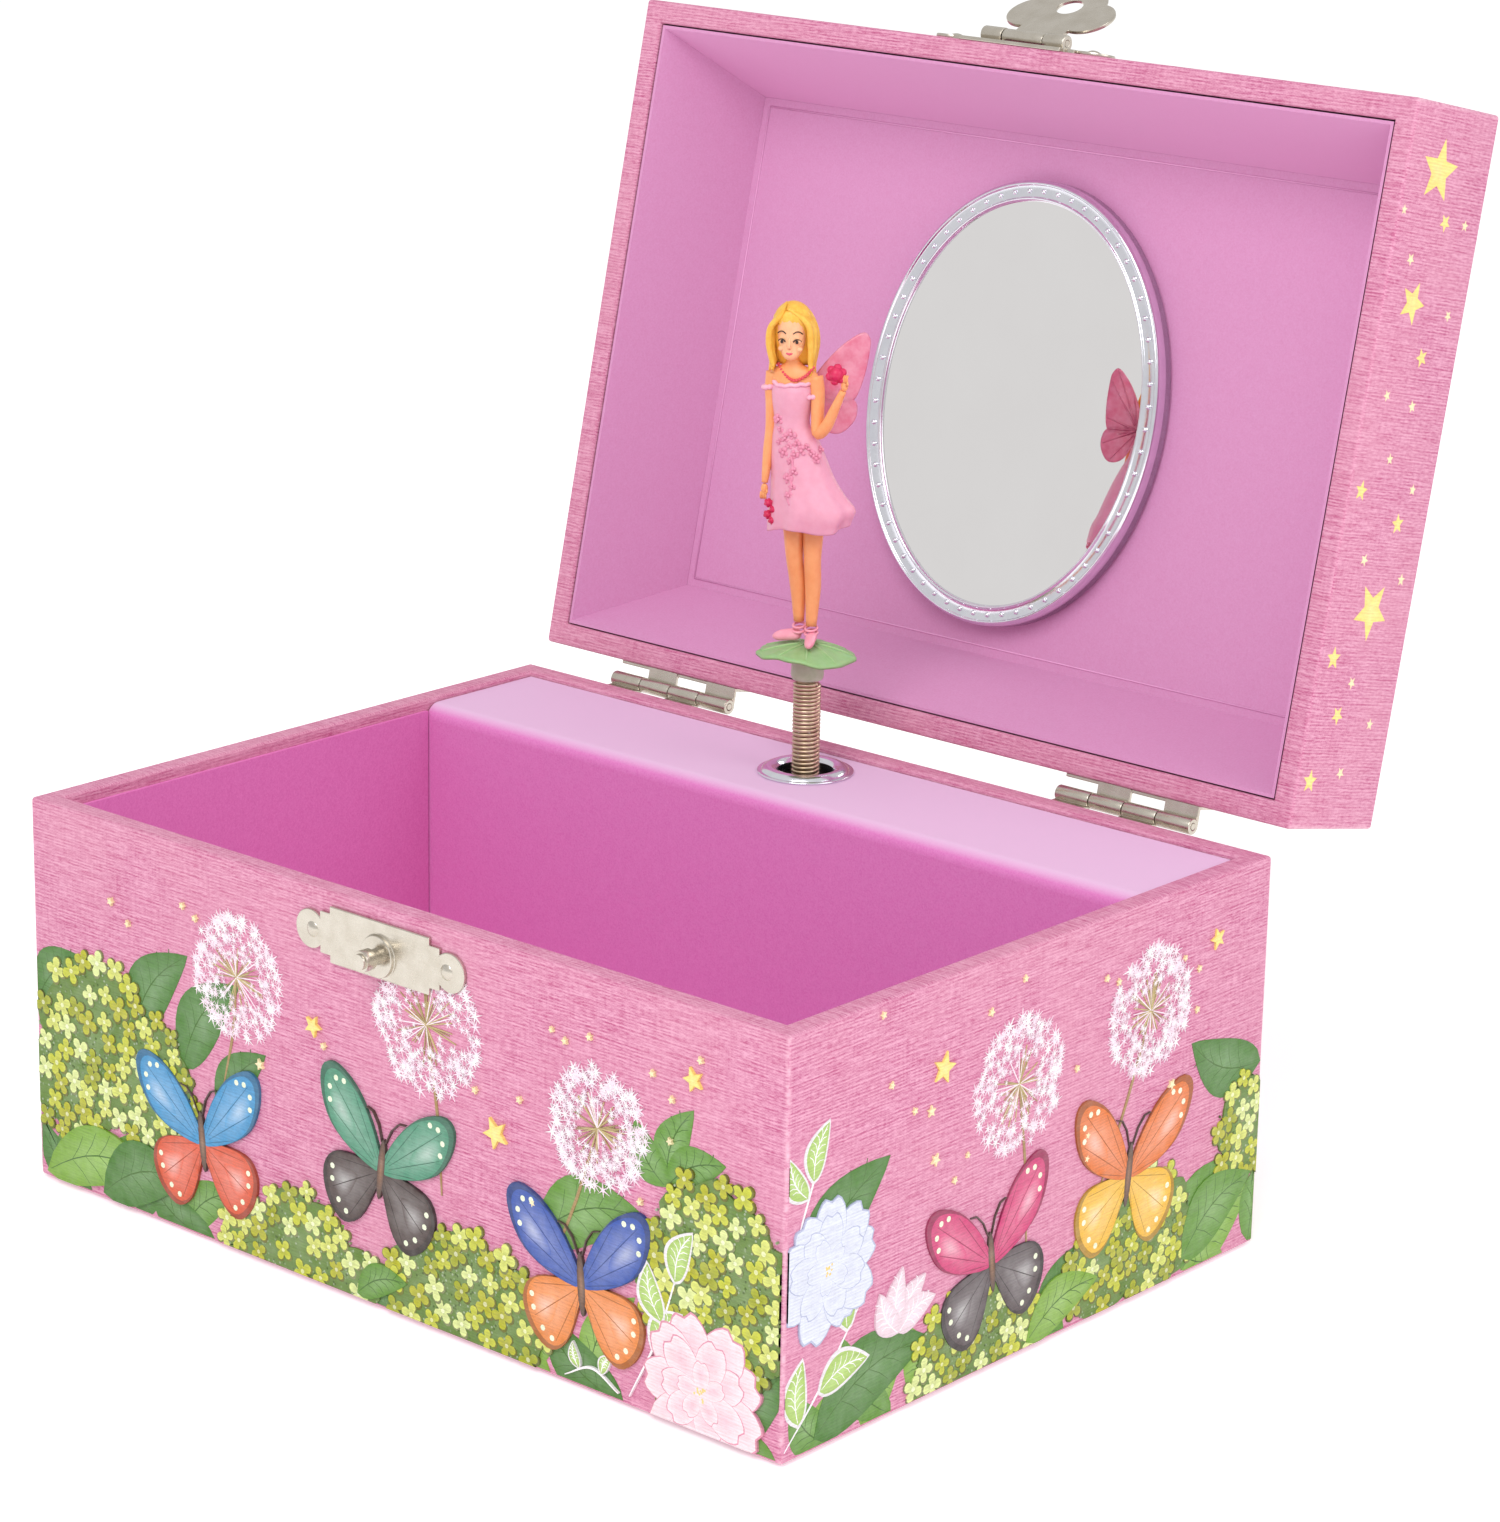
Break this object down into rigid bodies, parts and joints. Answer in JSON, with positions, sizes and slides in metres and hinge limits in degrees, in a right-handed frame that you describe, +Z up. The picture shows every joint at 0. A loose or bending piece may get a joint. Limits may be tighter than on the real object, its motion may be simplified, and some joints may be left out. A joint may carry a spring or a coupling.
{
  "type": "musical jewellery box",
  "caption": "Paper-covered musical jewellery box with a hinged mirrored lid, a hasp, a key-wound movement and a spring-mounted dancing figure that folds down.",
  "frame": {"origin": "centre of the underside of the base, on the surface that the box stands on", "axes": "+Z up, -Y is the front face with the catch, +X to the right of a person who faces the front"},
  "size_m": [0.15, 0.1605, 0.1751],
  "materials": {
    "board": "dense fibreboard, cut edges hidden by paper",
    "printed_paper": "printed linen-finish paper, pink with flowers, leaves, seed heads, butterflies and small stars",
    "underside_paper": "plain matt paper",
    "lining": "matt fine-grained magenta lining paper on card",
    "light_lining": "matt fine-grained lilac lining paper",
    "nickel": "bright nickel plate on pressed steel, lightly brushed",
    "mirror_frame": "bright plated ring with a beaded edge",
    "mirror_glass": "silvered glass",
    "foam_pad": "double-sided foam pad",
    "spring_wire": "close-wound spring wire, warm nickel tone",
    "steel": "plain and plated movement steel",
    "brass": "machined brass",
    "key_metal": "nickel-plated winding key",
    "fan_plastic": "moulded nylon",
    "leaf_plastic": "pale green painted leaf",
    "figure_resin": "hand-painted cast resin",
    "wing_film": "translucent pink moulded wings"
  },
  "bodies": {
    "base": {"floor_board": "board", "front_wall": "board", "back_wall": "board", "left_wall": "board", "right_wall": "board", "base_wrap": "printed_paper", "underside_paper": "underside_paper", "side_lining": "lining", "floor_lining": "lining", "cover_board": "board", "cover_lining": "light_lining", "grommet": "nickel", "catch_plate": "nickel", "catch_knob": "nickel", "catch_nails": "nickel", "hinge_left_base_leaf": "nickel", "hinge_right_base_leaf": "nickel", "hinge_pins": "nickel", "hinge_base_nails": "nickel", "bedplate": "steel", "comb": "steel", "comb_screws": "steel", "mainspring_housing": "steel", "mainspring": "steel", "governor_frame": "steel", "movement_screws": "steel"},
    "lid": {"lid_top_board": "board", "lid_front_wall": "board", "lid_back_wall": "board", "lid_left_wall": "board", "lid_right_wall": "board", "lid_wrap": "printed_paper", "lid_side_lining": "lining", "lid_panel_lining": "light_lining", "mirror_frame": "mirror_frame", "mirror_glass": "mirror_glass", "mirror_pad": "foam_pad", "hasp_plate": "nickel", "hasp_pin": "nickel", "hasp_nails": "nickel", "hinge_left_lid_leaf": "nickel", "hinge_right_lid_leaf": "nickel", "hinge_lid_nails": "nickel"},
    "hasp": {"hasp_flap": "nickel"},
    "spring": {"figure_spring": "spring_wire"},
    "spring_top": {"spring_ferrule": "steel"},
    "figure": {"lily_leaf": "leaf_plastic", "fairy_doll": "figure_resin", "fairy_wings": "wing_film"},
    "spindle": {"drive_spindle": "steel", "crown_wheel": "brass"},
    "cylinder": {"music_cylinder": "brass", "cylinder_arbor": "steel", "cylinder_gear": "brass"},
    "winding": {"great_wheel": "brass", "winding_arbor": "steel", "winding_key": "key_metal"},
    "governor": {"governor_wheel": "brass"},
    "fan": {"governor_worm": "steel", "governor_fan": "fan_plastic"}
  },
  "joints": [
    {"name": "lid_hinge", "type": "hinge", "parent": "base", "child": "lid", "pos_m": [0, 0.0566, 0.0606], "axis": [1, 0, 0], "range_deg": [0, 102.5]},
    {"name": "hasp_swing", "type": "hinge", "parent": "lid", "child": "hasp", "pos_m": [0, 0.08515, 0.16858], "axis": [1, 0, 0], "range_deg": [0, 144]},
    {"name": "spring_bend_low", "type": "hinge", "parent": "base", "child": "spring", "pos_m": [-0.003, 0.04, 0.062], "axis": [1, 0, 0], "range_deg": [0, 66.2], "deforming": ["figure_spring"]},
    {"name": "spring_bend_high", "type": "hinge", "parent": "spring", "child": "spring_top", "pos_m": [-0.003, 0.04, 0.0715], "axis": [1, 0, 0], "range_deg": [0, 30.1], "deforming": ["figure_spring"]},
    {"name": "figure_spin", "type": "hinge", "parent": "spring_top", "child": "figure", "pos_m": [-0.003, 0.04, 0.075], "axis": [0, 0, 1], "continuous": true},
    {"name": "spindle_spin", "type": "hinge", "parent": "base", "child": "spindle", "pos_m": [-0.003, 0.04, 0.05], "axis": [0, 0, 1], "continuous": true},
    {"name": "cylinder_spin", "type": "hinge", "parent": "base", "child": "cylinder", "pos_m": [-0.0102, 0.04, 0.03], "axis": [1, 0, 0], "continuous": true},
    {"name": "winding_spin", "type": "hinge", "parent": "base", "child": "winding", "pos_m": [-0.0534, 0.045, 0.03], "axis": [0, 1, 0], "continuous": true},
    {"name": "governor_spin", "type": "hinge", "parent": "base", "child": "governor", "pos_m": [-0.0102, 0.04, 0.0204], "axis": [1, 0, 0], "continuous": true},
    {"name": "fan_spin", "type": "hinge", "parent": "base", "child": "fan", "pos_m": [0.001, 0.03335, 0.0204], "axis": [0, 0, 1], "continuous": true}
  ],
  "couplings": [
    {"joint": "spring_bend_low", "follows": "lid_hinge", "ratio": 0.6439},
    {"joint": "spring_bend_high", "follows": "lid_hinge", "ratio": 0.29268},
    {"joint": "figure_spin", "follows": "cylinder_spin", "ratio": 1},
    {"joint": "spindle_spin", "follows": "cylinder_spin", "ratio": 1},
    {"joint": "winding_spin", "follows": "cylinder_spin", "ratio": -0.27273},
    {"joint": "governor_spin", "follows": "cylinder_spin", "ratio": -3},
    {"joint": "fan_spin", "follows": "cylinder_spin", "ratio": -15}
  ]
}
